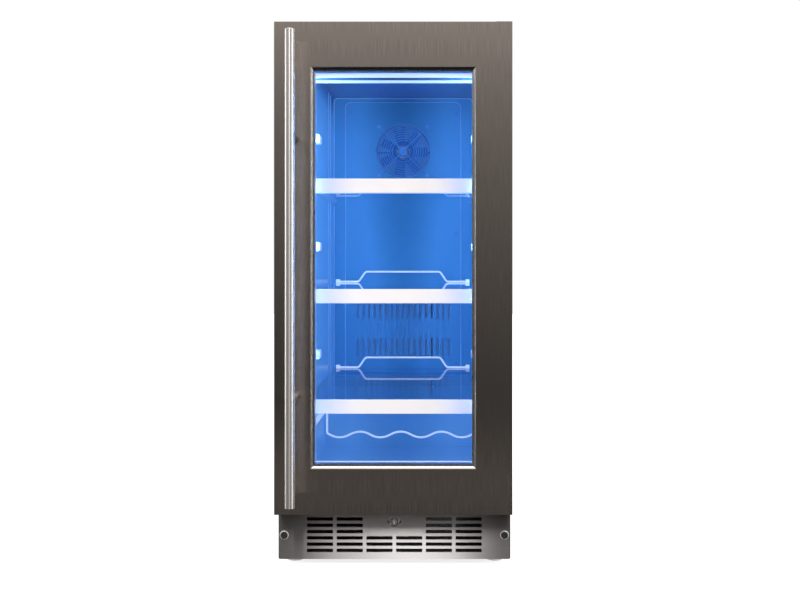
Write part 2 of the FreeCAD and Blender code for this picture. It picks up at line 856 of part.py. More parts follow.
def evaporator_cover():
    """Moulded cover with an embossed panel, two groups of vents and the fan opening."""
    z = (hump_top + 0.5, liner_ceiling - 0.5)
    sheet = rounded((0.5 - half_liner, half_liner - 0.5), (cover_front, cover_rear), z, 6.0)
    top = liner_ceiling - emboss_top_gap
    low = hump_top + emboss_top_gap
    raised = rounded((-emboss_half_width, emboss_half_width), (emboss_front, cover_front),
                     (low, top), emboss_corner)
    inner = emboss_half_width - cover_sheet
    pocket = rounded((-inner, inner), (emboss_front + cover_sheet, cover_rear),
                     (low + cover_sheet, top - cover_sheet), emboss_corner - cover_sheet)
    seats = [rod(cover_boss_radius, (x, emboss_front, z), (x, cover_rear, z))
             for x, z in cover_screw_places()]
    reach = fan_screw_spacing / 2
    seats += [rod(cover_boss_radius, (x, emboss_front, z), (x, cover_rear, z))
              for x in (-reach, reach) for z in (fan_z - reach, fan_z + reach)]
    cutters = [rod(fan_bore_radius, (0, emboss_front, fan_z), (0, cover_rear, fan_z))]
    for base in vent_heights:
        for i in range(vent_count):
            x = (i - (vent_count - 1) / 2) * vent_pitch
            cutters.append(rounded((x - vent_width / 2, x + vent_width / 2), (emboss_front, cover_rear),
                                   (hump_top + base, hump_top + base + vent_length), 2.4))
    shell = sheet.fuse(raised).cut(pocket)
    return joined([shell] + seats).cut(cutters + cover_screws())


def fan_guard():
    """Concentric wire rings on four diagonal spokes that end in screw eyelets."""
    depth = emboss_front - guard_lift
    rings = [Part.makeTorus(guard_radius - i * guard_ring_pitch, guard_wire_radius,
                            point((0, depth, fan_z)), Vector(0, 1, 0)) for i in range(guard_rings)]
    reach = fan_screw_spacing / 2
    spokes = []
    for x in (-reach, reach):
        for z in (-reach, reach):
            spokes.append(rod(guard_spoke_radius, (0, depth, fan_z), (x, depth, fan_z + z)))
            spokes.append(rod(screw_head_radius + eyelet_rim, (x, depth - eyelet_rise, fan_z + z),
                              (x, emboss_front, fan_z + z)))
    hub = rod(guard_hub_radius, (0, depth - guard_hub_half, fan_z), (0, depth + guard_hub_half, fan_z))
    return joined([hub] + rings + spokes).cut(cover_screws())


def fan_frame():
    """Square fan frame about +Z, with a hub on struts at its far side and a pin in the hub."""
    half = fan_size / 2
    far = fan_thickness
    body = Part.makeBox(fan_size, fan_size, far, Vector(-half, -half, 0))
    corners = [edge for edge in body.Edges if abs(edge.tangentAt(0).z) > 0.5]
    body = body.makeFillet(5.0, corners).cut(Part.makeCylinder(fan_bore_radius, far))
    hub = Part.makeCylinder(fan_hub_radius, 4.0, Vector(0, 0, far - 4.0))
    struts = []
    for angle in range(0, 360, 90):
        strut = Part.makeBox(fan_bore_radius + 2.0 - fan_hub_radius, 5.0, 3.0,
                             Vector(fan_hub_radius - 1.0, -2.5, far - 3.0))
        strut.rotate(Vector(0, 0, 0), Vector(0, 0, 1), angle)
        struts.append(strut)
    pin = Part.makeCylinder(fan_pin_radius, far - 8.0, Vector(0, 0, 6.0))
    return joined([body, hub, pin] + struts)


def fan_rotor():
    """Hub with pitched blades about +Z, bored for the pin of the frame."""
    hub_height = fan_thickness - 8.0
    hub = Part.makeCylinder(fan_hub_radius, hub_height, Vector(0, 0, 3.0))
    front = [edge for edge in hub.Edges if edge.CenterOfMass.z < 3.1 and edge.Length > 60.0]
    hub = hub.makeFillet(3.0, front)
    blades = []
    tip = fan_bore_radius - fan_blade_gap
    for i in range(fan_blades):
        blade = Part.makeBox(tip - fan_hub_radius, blade_chord, blade_thickness,
                             Vector(fan_hub_radius - 2.0, -blade_chord / 2, -blade_thickness / 2))
        blade.rotate(Vector(0, 0, 0), Vector(1, 0, 0), blade_angle)
        blade.translate(Vector(0, 0, 3.0 + hub_height / 2))
        blade.rotate(Vector(0, 0, 0), Vector(0, 0, 1), i * 360.0 / fan_blades)
        blades.append(blade)
    bore = Part.makeCylinder(fan_pin_radius + running_fit, fan_thickness, Vector(0, 0, 5.0))
    return joined([hub] + blades).cut(bore)


def machine_fan_frame():
    """Condenser fan frame on a foot that stands on the base pan."""
    depth = compressor_depth
    frame = turned(fan_frame(), Vector(1, 0, 0), (machine_fan_x, depth, machine_fan_z))
    foot = block((machine_fan_x, machine_fan_x + fan_thickness),
                 (depth - fan_foot_half, depth + fan_foot_half),
                 (pan_top, pan_top + machine_fan_foot))
    return joined([frame, foot])


def finned_coil(height, width, length, fin_pitch):
    """Fins stacked along +Z with two columns of tubes through them and a plate at each end."""
    fins = []
    count = int((length - 6.0) / fin_pitch)
    first = (length - (count - 1) * fin_pitch) / 2
    for i in range(count):
        fins.append(Part.makeBox(height, width, 0.8, Vector(0, 0, first + i * fin_pitch - 0.4)))
    ends = [Part.makeBox(height, width, 1.5, Vector(0, 0, z)) for z in (0, length - 1.5)]
    tubes = []
    rows = int(height / coil_tube_pitch)
    for row in range(rows):
        x = height * (row + 0.5) / rows
        for y in (width * 0.27, width * 0.73):
            tubes.append(Part.makeCylinder(tube_radius, length + 6.0, Vector(x, y, -3.0)))
    return joined(tubes + fins + ends)


def evaporator_coil():
    """Finned coil between the cover and the liner, below the fan."""
    coil = finned_coil(coil_height, coil_thickness, 2 * coil_half_width, 9.0)
    coil = turned(coil, Vector(1, 0, 0), (-coil_half_width, cover_rear + coil_cover_gap, coil_top))
    half_sheet = coil_bracket_sheet / 2
    z = (coil_bottom + coil_bracket_inset, coil_top - coil_bracket_inset)
    brackets = [block((x - half_sheet, x + half_sheet), (cover_rear, liner_rear), z)
                for x in (half_sheet - coil_half_width, coil_half_width - half_sheet)]
    return joined([coil] + brackets)


def condenser_coil():
    """Finned coil at the right of the machine compartment, on two feet."""
    coil = finned_coil(condenser_width, condenser_height, condenser_length, 8.0)
    coil = turned(coil, Vector(0, 1, 0), (condenser_left, condenser_front, condenser_top))
    feet = [block((condenser_left, condenser_right), (depth, depth + 1.5), (pan_top, condenser_top - 5.0))
            for depth in (condenser_front, condenser_front + condenser_length - 1.5)]
    return joined([coil] + feet)


def compressor_shell():
    """Welded can of the compressor with domed ends."""
    can = rod(compressor_radius, (compressor_x, compressor_depth, pan_top + compressor_legs),
              (compressor_x, compressor_depth, compressor_top))
    rims = [edge for edge in can.Edges if isinstance(edge.Curve, Part.Circle)]
    return can.makeFillet(compressor_dome, rims)


def compressor():
    """Compressor can on a base plate with four legs."""
    z = pan_top + compressor_legs
    x = (compressor_x - plate_half, compressor_x + plate_half)
    depth = (compressor_depth - plate_half_depth, compressor_depth + plate_half_depth)
    plate = block(x, depth, (z - plate_drop, z + plate_drop))
    legs = []
    for leg_x in (x[0] + leg_inset, x[1] - leg_inset):
        for leg_depth in (depth[0] + leg_inset, depth[1] - leg_inset):
            legs.append(rod(leg_radius, (leg_x, leg_depth, pan_top), (leg_x, leg_depth, z - plate_drop)))
    return joined([compressor_shell(), plate] + legs)


def terminal_cover():
    """Box over the electrical terminals at the back of the compressor."""
    rear = compressor_depth + compressor_radius
    box = block((compressor_x - terminal_half, compressor_x + terminal_half),
                (rear - terminal_sink, rear + terminal_reach),
                (pan_top + terminal_bottom, pan_top + terminal_bottom + terminal_height))
    return box.cut(compressor_shell())


def suction_line():
    """Copper return line from the evaporator to the compressor."""
    above_fan = machine_fan_z + fan_size / 2 + line_fan_gap
    x = compressor_x + compressor_radius + suction_can_gap
    line = bent_rod(tube_radius, [(suction_x, suction_depth, coil_bottom),
                                  (suction_x, suction_depth, above_fan),
                                  (x, suction_depth, above_fan),
                                  (x, suction_depth, pan_top + suction_height),
                                  (compressor_x, suction_depth, pan_top + suction_height)],
                    [suction_bend] * 3)
    return line.cut(compressor_shell())


def discharge_line():
    """Copper line from the compressor to the condenser."""
    above_fan = machine_fan_z + fan_size / 2 + line_fan_gap
    x = compressor_x + compressor_radius + discharge_can_gap
    depth = compressor_depth - discharge_offset
    front = condenser_front - discharge_front_gap
    into = condenser_left + condenser_width / 2
    line = bent_rod(tube_radius, [(compressor_x, depth, pan_top + discharge_height),
                                  (x, depth, pan_top + discharge_height),
                                  (x, depth, above_fan),
                                  (x, front, above_fan),
                                  (into, front, above_fan),
                                  (into, condenser_front, above_fan)], [discharge_bend] * 4)
    return line.cut([compressor_shell(), condenser_coil()])


def filter_drier():
    """Drier canister with the capillary tube that rises to the evaporator."""
    depth = condenser_front + drier_offset
    low = pan_top + drier_height
    inlet_z = low - drier_inlet_drop
    outlet_z = machine_top - drier_outlet_drop
    can = rod(drier_radius, (drier_x, depth, low), (drier_x, depth, low + drier_length))
    rims = [edge for edge in can.Edges if isinstance(edge.Curve, Part.Circle)]
    can = can.makeFillet(drier_dome, rims)
    inlet = bent_rod(drier_inlet_radius, [(condenser_left, depth, inlet_z), (drier_x, depth, inlet_z),
                                          (drier_x, depth, low + drier_dome)], [drier_bend])
    outlet = bent_rod(capillary_radius, [(drier_x, depth, low + drier_length - drier_dome),
                                         (drier_x, depth, outlet_z), (drier_x, capillary_depth, outlet_z),
                                         (drier_x, capillary_depth, coil_bottom)], [drier_bend] * 2)
    return joined([can, inlet, outlet])


def drain_tube():
    """Tube that takes meltwater from behind the evaporator cover to the drain pan."""
    top = hump_top
    bottom = compressor_top + drain_gap
    tube = rod(drain_tube_radius, (drain_x, drain_depth, bottom), (drain_x, drain_depth, top))
    return tube.cut(rod(drain_tube_radius - drain_tube_wall, (drain_x, drain_depth, bottom),
                        (drain_x, drain_depth, top)))


def drain_pan():
    """Open tray on top of the compressor."""
    x = (compressor_x - plate_half, compressor_x + plate_half)
    depth = (compressor_depth - plate_half, compressor_depth + plate_half)
    z = (compressor_top, compressor_top + drain_pan_height)
    wall = drain_pan_wall
    tray = block(x, depth, z)
    hollow = block((x[0] + wall, x[1] - wall), (depth[0] + wall, depth[1] - wall), (z[0] + wall, z[1]))
    return tray.cut(hollow)


def electronics_box():
    """Control board housing on the base pan beside the fan."""
    x = machine_fan_x + fan_thickness + electronics_gap
    depth = compressor_depth - electronics_offset
    return rounded((x, x + electronics_width), (depth, depth + electronics_length),
                   (pan_top, pan_top + electronics_height), electronics_corner)


def pipe_holes():
    """Holes where the drain, suction line and capillary pass through the cabinet's floor."""
    runs = [(drain_tube_radius, drain_x, drain_depth), (tube_radius, suction_x, suction_depth),
            (capillary_radius, drier_x, capillary_depth)]
    return [rod(radius, (x, depth, machine_top - 2 * case_sheet), (x, depth, hump_top))
            for radius, x, depth in runs]


def control_housing():
    """Hollow housing under the ceiling, with a slot below for the light and two button holes."""
    half = half_liner - control_side_gap
    depth = (control_front, control_front + control_depth)
    wall = control_wall
    shell = wide(half, depth, (control_bottom, liner_ceiling))
    hollow = wide(half - wall, (depth[0] + wall, depth[1] - wall), (control_bottom + wall, liner_ceiling))
    lens = wide(half - lens_end_gap, (depth[0] + lens_front_gap, depth[0] + lens_front_gap + lens_width),
                (control_bottom, control_bottom + wall))
    holes = [rod(button_radius + button_fit, (side * button_spacing, depth[0], control_z),
                 (side * button_spacing, depth[0] + wall, control_z)) for side in (-1, 1)]
    return shell.cut([hollow, lens] + holes)


def control_display():
    """Display window on the front of the control housing."""
    return rounded((-display_half_width, display_half_width), (control_front - display_proud, control_front),
                   (control_z - display_height / 2, control_z + display_height / 2), 3.0)


def button(side):
    """Round button with a flange inside the housing that keeps it in."""
    x = side * button_spacing
    inner = control_front + control_wall + 0.2
    cap = rod(button_radius, (x, control_front - display_proud, control_z), (x, inner + 4.0, control_z))
    flange = rod(button_radius + button_flange, (x, inner, control_z), (x, inner + 1.5, control_z))
    return joined([cap, flange])


def led_strips():
    """Light strips: one up each side wall behind the door frame and one under the housing."""
    strips = both_sides((half_liner - led_strip_thickness, half_liner),
                        (led_strip_depth, led_strip_depth + led_strip_width),
                        (liner_floor + rack_rail_height + led_strip_margin,
                         control_bottom - led_strip_top_gap))
    half = half_liner - control_side_gap - lens_end_gap
    front = control_front + lens_front_gap
    strips.append(wide(half, (front, front + lens_width), (control_bottom, control_bottom + control_wall)))
    return Part.makeCompound(strips)


def spare_shelf_clips():
    """White clips on the side walls for other shelf positions."""
    clips = []
    for top in shelf_tops:
        z = (top + clip_above_shelf - clip_height / 2, top + clip_above_shelf + clip_height / 2)
        for x in ((half_liner - clip_reach, half_liner), (-half_liner, clip_reach - half_liner)):
            clips.append(rounded(x, (clip_depth, clip_depth + clip_length), z, 3.0))
    return Part.makeCompound(clips)


def shelf_plate(top):
    """Glass of one shelf."""
    return wide(glass_half, (shelf_trim_depth + shelf_trim_sheet, glass_back), (top - shelf_glass, top))


def shelf_trim(top):
    """Metal front of one shelf: a face with a rib under the glass and a return at the bottom."""
    front = shelf_trim_depth
    sheet = shelf_trim_sheet
    low = top - shelf_trim_height
    face = wide(shelf_half, (front, front + sheet), (low, top))
    face = face.makeFillet(0.9, [edge for edge in face.Edges
                                 if abs(edge.tangentAt(0).x) > 0.5
                                 and edge.CenterOfMass.y < door_front + front + 0.1])
    under = top - shelf_glass
    rib = wide(shelf_half, (front + sheet, front + shelf_trim_return), (under - sheet, under))
    foot = wide(shelf_half, (front + sheet, front + shelf_trim_return), (low, low + sheet))
    return joined([face, rib, foot])


def shelf_stop_wire(top):
    """Rear wire of one shelf that keeps bottles off the back wall, with a clip at each end."""
    depth = glass_back - stop_clip_half
    low = top + stop_wire_radius
    high = low + stop_bump_rise
    end = glass_half - stop_wire_end_gap
    wire = bent_rod(stop_wire_radius, [(-end, depth, low), (-stop_bump_base, depth, low),
                                       (-stop_bump_top, depth, high), (stop_bump_top, depth, high),
                                       (stop_bump_base, depth, low), (end, depth, low)], [stop_bend] * 4)
    clips = both_sides((end - 5.0, end + 3.0), (depth - stop_clip_half, depth + stop_clip_half),
                       (top, top + stop_clip_height))
    return joined([wire] + clips)


def rack_wave(depth):
    """One wavy cross wire of the wine rack with a leg up at each end."""
    low = liner_floor + rack_wave_height
    crest = low + rack_wave_corner_rise
    leg = half_liner - rack_leg_inset
    top = liner_floor + rack_rail_height + rack_rail_sheet / 2
    half_pitch = rack_wave_pitch / 2
    halves = 2 * int((leg / half_pitch - 1) / 2) + 1
    wave = [(i * half_pitch, depth, low if i % 2 else crest) for i in range(-halves, halves + 1)]
    foot = low + rack_wave_corner_rise * (leg / half_pitch - halves)
    route = [(-leg, depth, top), (-leg, depth, foot)] + wave + [(leg, depth, foot), (leg, depth, top)]
    bends = [rack_leg_bend] + [rack_wave_bend] * len(wave) + [rack_leg_bend]
    return bent_rod(rack_wire_radius, route, bends)


def wine_rack():
    """Wavy wires front and rear, hung from two flat rails that slide on the side ledges."""
    rear = hump_front - rack_rear_gap
    low = liner_floor + rack_rail_height
    outer = half_liner - rack_rail_gap
    rails = both_sides((half_liner - rack_leg_inset - rack_wire_radius, outer),
                       (rack_front_depth - rack_rail_overhang, rear + rack_rail_overhang),
                       (low, low + rack_rail_sheet))
    return joined(rails + [rack_wave(rack_front_depth), rack_wave(rear)])


def build():
    """Every node of the refrigerator by name."""
    screws = case_screws()
    inner_screws = cover_screws()
    lower_screws = kick_screws() + lower_hinge_screws()
    rear_screws = machine_cover_screws()
    fan_at = (0, cover_rear, fan_z)
    machine_fan_at = (machine_fan_x, compressor_depth, machine_fan_z)
    nodes = {
        "outer_case": outer_case().cut(screws),
        "back_panel": back_panel().cut(rear_screws),
        "face_frame": face_frame().cut(lower_screws),
        "foam_insulation": foam_insulation().cut(screws + pipe_holes()),
        "inner_liner": inner_liner().cut(inner_screws + pipe_holes()),
        "compartment_plate": compartment_plate().cut(pipe_holes() + rear_screws),
        "base_pan": base_pan().cut(rear_screws),
        "kick_plate": kick_plate(),
        "case_screws": Part.makeCompound(screws),
        "machine_cover": machine_cover(),
        "evaporator_cover": evaporator_cover(),
        "cover_screws": Part.makeCompound(inner_screws),
        "fan_guard": fan_guard(),
        "evaporator_fan_frame": turned(fan_frame(), Vector(0, 1, 0), fan_at).cut(inner_screws),
        "evaporator_fan_rotor": turned(fan_rotor(), Vector(0, 1, 0), fan_at),
        "evaporator_coil": evaporator_coil(),
        "drain_tube": drain_tube(),
        "control_housing": control_housing(),
        "control_display": control_display(),
        "led_strips": led_strips(),
        "spare_shelf_clips": spare_shelf_clips(),
        "lock_housing": lock_housing(),
        "lock_plug": lock_plug(),
        "upper_hinge_bracket": upper_hinge_bracket(),
        "lower_hinge_bracket": lower_hinge_bracket(),
        "compressor": compressor(),
        "terminal_cover": terminal_cover(),
        "condenser_coil": condenser_coil(),
        "condenser_fan_frame": machine_fan_frame(),
        "condenser_fan_rotor": turned(fan_rotor(), Vector(1, 0, 0), machine_fan_at),
        "filter_drier": filter_drier(),
        "refrigerant_lines": Part.makeCompound([suction_line(), discharge_line()]),
        "drain_pan": drain_pan(),
        "electronics_box": electronics_box(),
        "cord_gland": cord_gland(),
        "door_skin": door_skin(),
        "door_inner_frame": door_inner_frame(),
        "outer_glass": glass_pane(glass_front_depth),
        "inner_glass": glass_pane(glass_rear_depth - glass_thickness),
        "glass_spacer": glass_spacer(),
        "door_gasket": door_gasket(),
        "handle_bar": handle_bar(),
        "handle_posts": handle_posts(),
        "hinge_bushes": hinge_bushes(),
        "wine_rack": wine_rack(),
        "temperature_up_button": button(1),
        "temperature_down_button": button(-1),
    }
    for name, top in zip(shelf_names, shelf_tops):
        nodes[name + "_shelf_glass"] = shelf_plate(top)
        nodes[name + "_shelf_trim"] = shelf_trim(top)
        nodes[name + "_shelf_stop_wire"] = shelf_stop_wire(top)
    for name, (x, depth) in foot_places().items():
        nodes[name + "_foot"] = levelling_foot(x, depth)
    return nodes


os.makedirs("parts", exist_ok=True)
for node, shape in build().items():
    shape.exportStep("parts/" + node + ".step")
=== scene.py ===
"""Looks of the undercounter refrigerator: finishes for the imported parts, and the small pieces
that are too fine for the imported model. Lengths are in metres, +X right, +Y back, +Z up."""

import math

import bmesh
import bpy
import numpy as np
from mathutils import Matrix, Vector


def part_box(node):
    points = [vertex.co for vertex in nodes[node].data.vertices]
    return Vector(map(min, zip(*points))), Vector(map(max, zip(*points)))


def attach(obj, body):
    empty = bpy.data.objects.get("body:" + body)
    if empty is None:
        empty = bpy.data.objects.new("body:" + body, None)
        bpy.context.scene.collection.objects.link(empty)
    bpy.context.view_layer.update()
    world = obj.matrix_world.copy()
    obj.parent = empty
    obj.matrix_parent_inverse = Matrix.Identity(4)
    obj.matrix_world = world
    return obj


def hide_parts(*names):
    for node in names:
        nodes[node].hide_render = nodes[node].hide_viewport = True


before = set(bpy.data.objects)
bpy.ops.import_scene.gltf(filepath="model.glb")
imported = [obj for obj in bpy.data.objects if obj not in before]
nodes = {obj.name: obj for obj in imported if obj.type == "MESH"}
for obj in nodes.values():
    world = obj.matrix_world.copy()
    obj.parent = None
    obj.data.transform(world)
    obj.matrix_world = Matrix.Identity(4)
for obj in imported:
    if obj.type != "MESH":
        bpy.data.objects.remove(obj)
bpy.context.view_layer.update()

MM = 0.001
kick_low, kick_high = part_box("kick_plate")
liner_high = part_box("inner_liner")[1]
glass_low, glass_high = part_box("outer_glass")
cover_low, cover_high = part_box("evaporator_cover")
guard_low, guard_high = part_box("fan_guard")
gasket_low, gasket_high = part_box("door_gasket")
lock_low, lock_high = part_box("lock_housing")
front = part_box("door_skin")[0].y                         # the door's face


# ---------------------------------------------------------------- mesh and node helpers

def linear(code, alpha=1.0):
    """Linear RGBA of an sRGB hex colour."""
    parts = [int(code[i:i + 2], 16) / 255 for i in (1, 3, 5)]
    return tuple(c / 12.92 if c <= 0.04045 else ((c + 0.055) / 1.055) ** 2.4 for c in parts) + (alpha,)


def add(tree, kind, inputs=None, **settings):
    """Adds a node, with its settings, and links or sets its inputs by name or number."""
    node = tree.nodes.new(kind)
    for name, value in settings.items():
        setattr(node, name, value)
    for name, value in (inputs or {}).items():
        if isinstance(value, bpy.types.NodeSocket):
            tree.links.new(value, node.inputs[name])
        else:
            node.inputs[name].default_value = value
    return node


def new_material(name):
    """Empty material and its node tree."""
    made = bpy.data.materials.new(name)
    made.use_nodes = True
    made.node_tree.nodes.clear()
    return made, made.node_tree


def mesh_piece(name, grids, material, body, smooth=True):
    """Piece from grids of points, each rows x columns x 3 and closed or open as its own last row and
    column say: a grid whose last row or column repeats its first is welded there."""
    points = []
    faces = []
    start = 0
    for grid in grids:
        rows, columns, _ = grid.shape
        index = np.arange(rows * columns).reshape(rows, columns) + start
        quads = np.stack([index[:-1, :-1], index[1:, :-1], index[1:, 1:], index[:-1, 1:]], axis=-1)
        points.append(grid.reshape(-1, 3))
        faces.append(quads.reshape(-1, 4))
        start += rows * columns
    mesh = bpy.data.meshes.new(name)
    mesh.from_pydata(np.concatenate(points).tolist(), [], np.concatenate(faces).tolist())
    welded = bmesh.new()
    welded.from_mesh(mesh)
    bmesh.ops.remove_doubles(welded, verts=welded.verts, dist=1e-6)
    bmesh.ops.recalc_face_normals(welded, faces=welded.faces)
    welded.to_mesh(mesh)
    welded.free()
    piece = bpy.data.objects.new(name, mesh)
    bpy.context.collection.objects.link(piece)
    mesh.materials.append(material)
    mesh.polygons.foreach_set("use_smooth", [smooth] * len(mesh.polygons))
    if body:
        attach(piece, body)
    return piece


def frame_sweep(half_width, low, high, profile):
    """Closed profile carried round an upright rectangle with mitred corners.
    A profile point is (outward, y): at each corner it goes outward the same way in x and z, so
    x = +-(half_width + outward), z = low - outward or high + outward."""
    outward = np.append(profile[:, 0], profile[0, 0])
    y = np.append(profile[:, 1], profile[0, 1])
    corners = [(-1, low, -1), (1, low, -1), (1, high, 1), (-1, high, 1), (-1, low, -1)]
    rows = [np.stack([side * (half_width + outward), y, z + up * outward], axis=-1)
            for side, z, up in corners]
    return np.array(rows)


def lathe(centre, profile, segments=48):
    """Profile of (radius, y) turned about the line along Y through centre: x = cx + r cos a,
    z = cz + r sin a."""
    angle = np.linspace(0, 2 * math.pi, segments + 1)
    radius = profile[:, 0][:, None]
    x = centre[0] + radius * np.cos(angle)
    z = centre[1] + radius * np.sin(angle)
    y = np.broadcast_to(profile[:, 1][:, None], x.shape)
    return np.stack([x, y, z], axis=-1)


# ---------------------------------------------------------------- materials

BRUSHING = 0.45 * MM               # height or width of one brushed streak, coarser than real so it shows
CLOUD = 25 * MM                    # drift of colour in moulded plastic
PEEL = 1.5 * MM                    # moulded texture
LOWER_RANGE = (0.80, 0.25)         # heights between which plastic turns to its near colour, painted light lower down
PAINTED_GLOW_FADE = (0.76, 0.82)           # heights between which the painted glow fades
PAINTED_CEILING_SHADE = (0.80, 0.845)      # heights between which painted shade darkens the liner's ceiling
PAINTED_DARK_ENDS = (0.08, 0.19)          # distance from the middle at which the kick plate's colour darkens, a painted reflection falloff


def finish(name, light, dark, grain, stretch=(1, 1, 1), rough=(0.3, 0.4), bump=0.0, **shader):
    """Material whose colour, roughness and bump follow one noise pattern. grain is the pattern's size
    in metres and stretch says how many times longer it is along each axis. Sockets of the shader that
    are the same all over come by name, with spaces as underscores."""
    made, tree = new_material(name)
    place = add(tree, "ShaderNodeTexCoord").outputs["Object"]
    scale = [1 / (grain * s) for s in stretch]
    scaled = add(tree, "ShaderNodeMapping", {"Vector": place, "Scale": scale}).outputs[0]
    noise = add(tree, "ShaderNodeTexNoise", {"Vector": scaled, "Scale": 1.0, "Detail": 3.0})
    share = add(tree, "ShaderNodeMapRange", {"Value": noise.outputs[0], 1: 0.3, 2: 0.7}).outputs[0]
    colour = add(tree, "ShaderNodeMix", {0: share, 6: linear(light), 7: linear(dark)},
                 data_type="RGBA").outputs[2]
    roughness = add(tree, "ShaderNodeMapRange", {"Value": share, 3: rough[0], 4: rough[1]}).outputs[0]
    sockets = {"Base Color": colour, "Roughness": roughness}
    if bump:
        sockets["Normal"] = add(tree, "ShaderNodeBump", {"Height": noise.outputs[0], "Strength": 1.0,
                                                         "Distance": bump}).outputs[0]
    for socket, value in shader.items():
        sockets[socket.replace("_", " ")] = value
    shown = add(tree, "ShaderNodeBsdfPrincipled", sockets)
    add(tree, "ShaderNodeOutputMaterial", {"Surface": shown.outputs[0]})
    return made


def clear_glass(name, tint, index):
    """Clear glass as a thin sheet: it mirrors by the Fresnel share of its index where a ray enters,
    and lets everything else straight through with its tint."""
    made, tree = new_material(name)
    share = add(tree, "ShaderNodeFresnel", {"IOR": index}).outputs[0]
    inside = add(tree, "ShaderNodeNewGeometry").outputs["Backfacing"]
    entering = add(tree, "ShaderNodeMath", {0: 1.0, 1: inside}, operation="SUBTRACT").outputs[0]
    mirror = add(tree, "ShaderNodeMath", {0: share, 1: entering}, operation="MULTIPLY").outputs[0]
    through = add(tree, "ShaderNodeBsdfTransparent", {"Color": linear(tint)})
    gloss = add(tree, "ShaderNodeBsdfAnisotropic", {"Color": (1, 1, 1, 1), "Roughness": 0.0})
    shown = add(tree, "ShaderNodeMixShader", {0: mirror, 1: through.outputs[0], 2: gloss.outputs[0]})
    add(tree, "ShaderNodeOutputMaterial", {"Surface": shown.outputs[0]})
    return made


# Brushed stainless steel, long-grain: belt-ground top to bottom, so reflections smear sideways.
door_steel = finish("stainless_brushed_vertical", "#c6bbb2", "#a3988f", BRUSHING, (1, 1, 90), (0.21, 0.26),
                    Metallic=1.0, Anisotropic=0.78)
# Stainless tube ground round its girth: upright bright and dark bands.
handle_steel = finish("stainless_tube_ground", "#e9e5e2", "#d2cdc9", 0.8 * MM, (40, 40, 1), (0.34, 0.42),
                      Metallic=1.0, Anisotropic=0.9, Anisotropic_Rotation=0.25)
# Polished steel edge: a thin mirror line.
polished_steel = finish("steel_polished", "#f2efec", "#dcd8d4", 3 * MM, rough=(0.06, 0.12), Metallic=1.0)
# Zinc-coated sheet: pale grey with a soft spangle.
zinc_sheet = finish("steel_zinc_coated", "#b9bcbe", "#9fa3a6", 6 * MM, rough=(0.35, 0.5), Metallic=1.0)
# Black powder coat: fine orange peel and a soft sheen.
case_paint = finish("steel_powder_coated_black", "#232325", "#1b1b1d", 1.2 * MM, rough=(0.38, 0.5),
                    bump=0.03 * MM)
# Thick black stoving enamel on the compressor.
compressor_enamel = finish("steel_enamelled_black", "#161617", "#0e0e0f", 8 * MM, rough=(0.18, 0.28),
                           bump=0.02 * MM, Coat_Weight=0.4)
# Rigid polyurethane foam: matt, pale yellow and slightly pitted.
foam = finish("polyurethane_foam", "#e8dcae", "#d3c48d", 2.5 * MM, rough=(0.8, 0.95), bump=0.2 * MM)
# Moulded black ABS: faint texture, satin.
black_plastic = finish("abs_moulded_black", "#1b1b1d", "#141415", 0.8 * MM, rough=(0.42, 0.55),
                       bump=0.01 * MM)
# White moulded clips and ducts; their blue tint and faint glow are painted light from the blue lamps.
white_plastic = finish("abs_moulded_white", "#d5dff2", "#c4d2ec", 1.5 * MM, rough=(0.3, 0.4),
                       Emission_Color=linear("#9dc0f8"), Emission_Strength=0.1)
# Pale ABS of the door's inner frame, with a faint glow for the light that reaches it.
inner_frame_plastic = finish("abs_moulded_pale", "#d3dff4", "#c3d2ee", 1.0 * MM, rough=(0.3, 0.4),
                             Emission_Color=linear("#dcd8e0"), Emission_Strength=0.2)
# Buttons: pale grey moulded ABS, satin.
button_plastic = finish("abs_moulded_button", "#c7ccd4", "#b4bac4", 1.0 * MM, rough=(0.35, 0.45))
# Gasket: soft PVC, dull and dark.
gasket_rubber = finish("pvc_soft_extruded", "#26272a", "#1c1d20", 2.0 * MM, rough=(0.55, 0.7),
                       bump=0.02 * MM)
# Aluminium: pressed fins and extruded spacer.
fin_aluminium = finish("aluminium_rolled", "#c9ccd0", "#aeb2b7", 1.5 * MM, (1, 1, 6), (0.25, 0.38),
                       Metallic=1.0)
# Chromed wire of the rack and stops; its near-white colour and glow are a painted highlight.
rack_wire = finish("wire_chromed", "#fbfcff", "#e6edfa", 2 * MM, rough=(0.12, 0.2), Metallic=0.2,
                   Emission_Color=linear("#e6efff"), Emission_Strength=0.45)
# Fan guard: painted wire, its blue partly painted light from the lamps it stands in, with a faint painted
# glow.
guard_wire = finish("wire_blue_paint_and_painted_light", "#4f90d4", "#3876bc", 1.5 * MM, rough=(0.3, 0.42),
                    Emission_Color=linear("#4788d0"), Emission_Strength=0.2)
# Fan of moulded nylon, its dark blue partly painted light from the lamps it stands in, with a painted glow.
fan_plastic = finish("nylon_blue_and_painted_light", "#1b5ca0", "#154e8c", 1.0 * MM, rough=(0.4, 0.5),
                     Emission_Color=linear("#1f5ca6"), Emission_Strength=0.4)
# Evaporator fins: coated aluminium, matt; their blue is painted light from the lamps, seen through the vents.
evaporator_fins = finish("aluminium_fins_painted_blue_light", "#3f7fbc", "#2f6aa6", 2.5 * MM, rough=(0.6, 0.75))
# Nickel-plated screws and lock barrel, darker than the steel round them.
dark_nickel = finish("steel_nickel_dark", "#b2aeab", "#96928f", 2 * MM, rough=(0.15, 0.25), Metallic=1.0)
# Washers round the screws: bright zinc, soft enough to show as pale rings.
bright_zinc = finish("steel_zinc_bright", "#f2f1ef", "#dcd9d6", 2 * MM, rough=(0.3, 0.4), Metallic=0.6)
# Copper pipe, dulled by handling.
copper = finish("copper_drawn", "#d89a78", "#b87452", 5 * MM, rough=(0.35, 0.5), Metallic=0.5)
# Zinc-plated foot.
foot_steel = finish("steel_zinc_plated", "#eef0f2", "#dfe1e4", 2 * MM, rough=(0.3, 0.42), Metallic=0.4)
